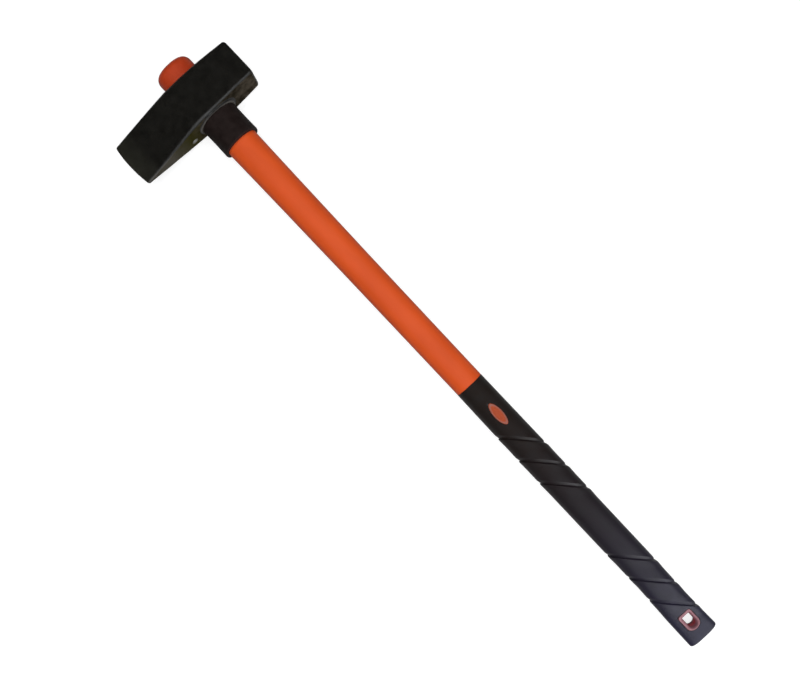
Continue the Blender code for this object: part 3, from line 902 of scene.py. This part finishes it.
def badge_ring(side, share, height, grow):
    """A pointed oval, share of the inlay's size, that follows the grip at a height over it."""
    centre = (BADGE_LOW + BADGE_HIGH) / 2
    half = (BADGE_HIGH - BADGE_LOW) / 2
    angle = np.linspace(0, math.tau, BADGE_POINTS, endpoint=False)
    x = centre.x + (half.x + grow) * share * signed_power(np.cos(angle), BADGE_POINT)
    y = centre.y + (half.y + grow) * share * signed_power(np.sin(angle), BADGE_POINT)
    z = np.array([grip_surface_z(px, py) for px, py in zip(x, y)]) + height
    return np.stack([x, y, side * z], axis=1)


def badge_recess(side):
    grow = GAP / 2
    bottom = -BADGE_SUNK - grow * 2
    layers = [(share, bottom) for share in RECESS_SHARES]
    layers += [(share, BADGE_RECESS_TOP) for share in reversed(RECESS_SHARES)]
    return loft_mesh("recess", [badge_ring(side, *layer, grow) for layer in layers], capped=True)


def build_badge(side, word, material):
    """An inlay with a sunk edge, a raised rim and a lower field."""
    layers = [(share, mm(raised) - BADGE_SUNK, 0.0) for share, raised in BADGE_FOOT]
    layers += [(share, mm(height), highlight_share) for share, height, highlight_share in BADGE_PROFILE]
    rings = [badge_ring(side, share, height, 0.0) for share, height, highlight_share in layers]
    mesh = loft_mesh("badge", rings, capped=True)
    # The raised rim gets a painted highlight.
    note_painted_light(mesh, "painted_highlight", [highlight_share for share, height, highlight_share in layers], BADGE_POINTS)
    badge = new_object("badge", mesh)
    return piece(f"badge_{word}_inlay", badge, f"badge_{word}", material)


# Hang hole

LINER_LENGTH = LINER_HIGH.x - LINER_LOW.x
LINER_WIDTH = LINER_HIGH.y - LINER_LOW.y
LINER_CENTRE = (LINER_LOW + LINER_HIGH) / 2
LINER_CORNER = mm(3.2)
LINER_NOSE = mm(8.0)
NOSE_POWER = 2.1
# (inset from the liner's outline in mm, height over the grip in mm, how much painted highlight, how
# much painted shadow in the seam) from the outer wall over the lip.
LIP_PROFILE = (
    (0.0, -2.0, 0.0, 1.0),
    (0.0, -0.5, 0.0, 1.0),
    (0.15, -0.12, 0.5, 1.0),
    (0.5, 0.12, 1.0, 0.6),
    (0.9, 0.24, 1.0, 0.1),
)
# (share of the way from the lip to the web, height over the grip in mm, how much painted highlight) down
# the bevel.
BEVEL_PROFILE = (
    (0.2, 0.1, 1.0),
    (0.45, -0.5, 1.0),
    (0.66, -1.4, 1.0),
    (0.8, -2.4, 1.0),
    (0.88, -3.4, 1.0),
    (0.94, -4.6, 0.9),
    (0.98, -5.8, 0.3),
)
WEB_LENGTH = mm(15.8)
WEB_WIDTH = mm(10.0)
WEB_CORNER = mm(1.2)
WEB_NOSE = mm(5.0)
WEB_SHIFT = (mm(1.6), mm(0.3))
WEB_HALF_DEPTH = mm(1.5)


def d_outline(centre_x, length, width, corner, nose):
    """(x, y) points of a D: flat towards the head, rounded over the nose length at the butt."""
    half_width = width / 2
    flat_x = centre_x - length / 2
    nose_x = centre_x + length / 2 - nose
    points = []
    for angle in np.radians(np.linspace(-90, 90, 49)):
        x = nose_x + nose * abs(math.cos(angle)) ** (2 / NOSE_POWER)
        points.append((x, half_width * signed_power(math.sin(angle), 2 / NOSE_POWER)))
    for side, start in ((1, 90), (-1, 180)):
        straight = np.linspace(nose_x, flat_x + corner, 9)[1:-1] if side == 1 else ()
        points += [(x, half_width) for x in straight]
        for angle in np.radians(np.linspace(start, start + 90, 9)):
            x = flat_x + corner + corner * math.cos(angle)
            points.append((x, side * (half_width - corner) + corner * math.sin(angle)))
        if side == -1:
            points += [(x, -half_width) for x in np.linspace(flat_x + corner, nose_x, 9)[1:-1]]
    return np.array(points)


def liner_outline(inset):
    length, width = LINER_LENGTH - 2 * inset, LINER_WIDTH - 2 * inset
    outline = d_outline(0.0, length, width, LINER_CORNER - inset / 2, LINER_NOSE - inset / 2)
    return outline + np.array(LINER_CENTRE.xy)


def hole_prism(clearance):
    outline = liner_outline(-clearance)
    reach = GRIP_HIGH.z * 2
    rings = [np.column_stack([outline, np.full(len(outline), z)]) for z in (-reach, reach)]
    return loft_mesh("hole", rings, capped=True)


def web_outline():
    """The hole at its narrowest, nearer to the butt side of the liner."""
    outline = d_outline(0.0, WEB_LENGTH, WEB_WIDTH, WEB_CORNER, WEB_NOSE)
    return outline + np.array(LINER_CENTRE.xy) + np.array(WEB_SHIFT)


def build_liner(material):
    """A D-shaped eyelet: a rounded lip, then a bevel down to the hole's narrowest web."""
    lip = liner_outline(mm(LIP_PROFILE[-1][0]))
    web = web_outline()
    rows = [(liner_outline(mm(inset)), *rest) for inset, *rest in LIP_PROFILE]
    rows += [(lip + (web - lip) * share, height, highlight_share, 0.0) for share, height, highlight_share in BEVEL_PROFILE]
    half = []
    for outline, height, _, _ in rows:
        z = [grip_surface_z(x, y) + mm(height) for x, y in outline]
        half.append(np.column_stack([outline, z]))
    walls = [np.column_stack([web, np.full(len(web), z)]) for z in (WEB_HALF_DEPTH, 0.0, -WEB_HALF_DEPTH)]
    rings = half + walls + [ring * np.array((1, 1, -1)) for ring in reversed(half)]
    mesh = loft_mesh("liner", rings, capped=False)
    # A painted highlight on the lip and upper bevel, a painted shadow in the seam.
    for name, column in (("painted_highlight", 2), ("seam_shadow", 3)):
        values = [row[column] for row in rows]
        note_painted_light(mesh, name, values + [0.0] * len(walls) + values[::-1], len(web))
    liner = new_object("liner", mesh)
    return piece("hang_hole_eyelet", liner, "hang_hole_liner", material)


# Stage

WHITE = (1.0, 1.0, 1.0)
FLOOR_SIZE = 30.0
# The floor slopes from the cheek, FLOOR_INSET in from the head's underside, to FLOOR_RISE above the
# grip's lowest point at the butt, where the grip is thinner; all of it is then lowered by FLOOR_DROP.
FLOOR_DROP = mm(0.2)
FLOOR_INSET = mm(3.0)
FLOOR_RISE = mm(1.2)
PAPER = (0.35, 0.35, 0.35)
PAPER_TINT = (0.37, 0.37, 0.37)
FLOOR_GLOW = 0.78
CEILING_PLACE = (-0.45, 0.0, 2.6)
CEILING_AIM = (-0.45, 0.0, 0.0)
CEILING_SIZE = (3.2, 3.2)
CEILING_POWER = 85
BUTT_BOX_PLACE = (1.2, 0.1, 1.05)
BUTT_BOX_AIM = (-0.25, 0.0, 0.0)
BUTT_BOX_SIZE = (2.0, 0.95)
BUTT_BOX_POWER = 16
BUTT_BOX_COLOUR = (0.94, 0.97, 1.0)
# The sky's glow low down and high up, its share away from the butt's side, and as the camera sees it.
SKY_LOW = 0.14
SKY_HIGH = 0.02
SKY_SIDE = 0.3
SKY_SEEN = 0.93


def build_floor():
    """A pale floor just below the head's lower cheek, sloping up to pass just below the grip."""
    head_x = UNDERSIDE_X - FLOOR_INSET
    slope = (GRIP_LOW.z + FLOOR_RISE - HEAD_LOW.z) / (0.0 - head_x)
    corners = []
    for x, y in ((-1, -1), (1, -1), (1, 1), (-1, 1)):
        px = x * FLOOR_SIZE / 2
        corners.append((px, y * FLOOR_SIZE / 2, HEAD_LOW.z - FLOOR_DROP + slope * (px - head_x)))
    mesh = bpy.data.meshes.new("floor")
    mesh.from_pydata(corners, [], [(0, 1, 2, 3)])
    shader = Shader("floor_paper", roughness=0.9, specular=0.1)
    tint = shader.noise(600.0, 2.0)
    shader.set("Base Color", shader.blend(tint, PAPER, PAPER_TINT))
    shader.surface.inputs["Emission Color"].default_value = (1, 1, 1, 1)
    seen = shader.tree.nodes.new("ShaderNodeLightPath").outputs["Is Camera Ray"]
    shader.set("Emission Strength", shader.maths("MULTIPLY", seen, FLOOR_GLOW))
    mesh.materials.append(shader.material)
    floor = new_object("floor", mesh)


def area_light(name, place, aim, size, power, colour=WHITE):
    light = bpy.data.lights.new(name, "AREA")
    light.shape = "RECTANGLE"
    light.size, light.size_y = size
    light.energy = power
    light.color = colour
    obj = bpy.data.objects.new(name, light)
    bpy.context.scene.collection.objects.link(obj)
    obj.location = place
    obj.rotation_euler = (Vector(aim) - Vector(place)).to_track_quat("-Z", "Y").to_euler()
    return obj


def build_lights():
    """A soft ceiling that only lights, and a brighter box beyond the butt that also glints."""
    ceiling = area_light("ceiling", CEILING_PLACE, CEILING_AIM, CEILING_SIZE, CEILING_POWER)
    ceiling.visible_glossy = False
    box = (BUTT_BOX_PLACE, BUTT_BOX_AIM, BUTT_BOX_SIZE, BUTT_BOX_POWER, BUTT_BOX_COLOUR)
    area_light("butt_softbox", *box)
    build_sky()


def build_sky():
    """A dim surround, brightest low down beyond the butt. The camera itself sees pale paper."""
    world = bpy.data.worlds.new("studio")
    bpy.context.scene.world = world
    world.use_nodes = True
    tree = world.node_tree
    split = tree.nodes.new("ShaderNodeSeparateXYZ")
    tree.links.new(tree.nodes.new("ShaderNodeTexCoord").outputs["Generated"], split.inputs[0])

    def ramp(axis, low, high, out_low, out_high):
        node = tree.nodes.new("ShaderNodeMapRange")
        tree.links.new(split.outputs[axis], node.inputs["Value"])
        limits = {"From Min": low, "From Max": high, "To Min": out_low, "To Max": out_high}
        for name, value in limits.items():
            node.inputs[name].default_value = value
        return node.outputs["Result"]

    glow = tree.nodes.new("ShaderNodeMath")
    glow.operation = "MULTIPLY"
    tree.links.new(ramp("Z", 0.05, 0.8, SKY_LOW, SKY_HIGH), glow.inputs[0])
    tree.links.new(ramp("X", 0.0, 0.8, SKY_SIDE, 1.0), glow.inputs[1])
    seen = tree.nodes.new("ShaderNodeMix")
    tree.links.new(tree.nodes.new("ShaderNodeLightPath").outputs["Is Camera Ray"], seen.inputs[0])
    tree.links.new(glow.outputs[0], seen.inputs[2])
    seen.inputs[3].default_value = SKY_SEEN
    tree.links.new(seen.outputs[0], tree.nodes["Background"].inputs["Strength"])
    tree.nodes["Background"].inputs["Color"].default_value = (1, 1, 1, 1)


CAMERA_TURN = 46.8
CAMERA_HEIGHT = mm(836.6)
CAMERA_AIM = (mm(-482.8), mm(-30.0))
METRES_PER_PIXEL = mm(1.162)


def build_camera():
    """Straight above the maul, turned so that the handle runs down to the right."""
    data = bpy.data.cameras.new("camera")
    data.sensor_width = 36.0
    data.lens = data.sensor_width * CAMERA_HEIGHT / (METRES_PER_PIXEL * IMAGE_WIDTH)
    data.clip_start = 0.01
    camera = bpy.data.objects.new("camera", data)
    bpy.context.scene.collection.objects.link(camera)
    camera.location = (*CAMERA_AIM, CAMERA_HEIGHT)
    camera.rotation_euler = (0.0, 0.0, math.radians(CAMERA_TURN))
    bpy.context.scene.camera = camera
    bpy.context.scene.view_settings.view_transform = "Standard"


build_head(forged_black())
build_cap(moulded_orange("knob_orange", KNOB_DEEP, KNOB_BRIGHT, 0.40))
build_collar(black_rubber())
build_jacket(moulded_orange("shaft_orange", SHAFT_DEEP, SHAFT_BRIGHT, 0.45))
build_grip(grip_rubber())
build_badge(1, "front", badge_orange("badge_front_orange"))
build_badge(-1, "back", badge_orange("badge_back_orange"))
build_liner(liner_red())
for node, material in (("eye_resin_bond", cured_epoxy()), ("fibreglass_core", glass_fibre())):
    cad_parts[node].data.materials.clear()
    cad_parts[node].data.materials.append(material)
build_floor()
build_lights()
build_camera()
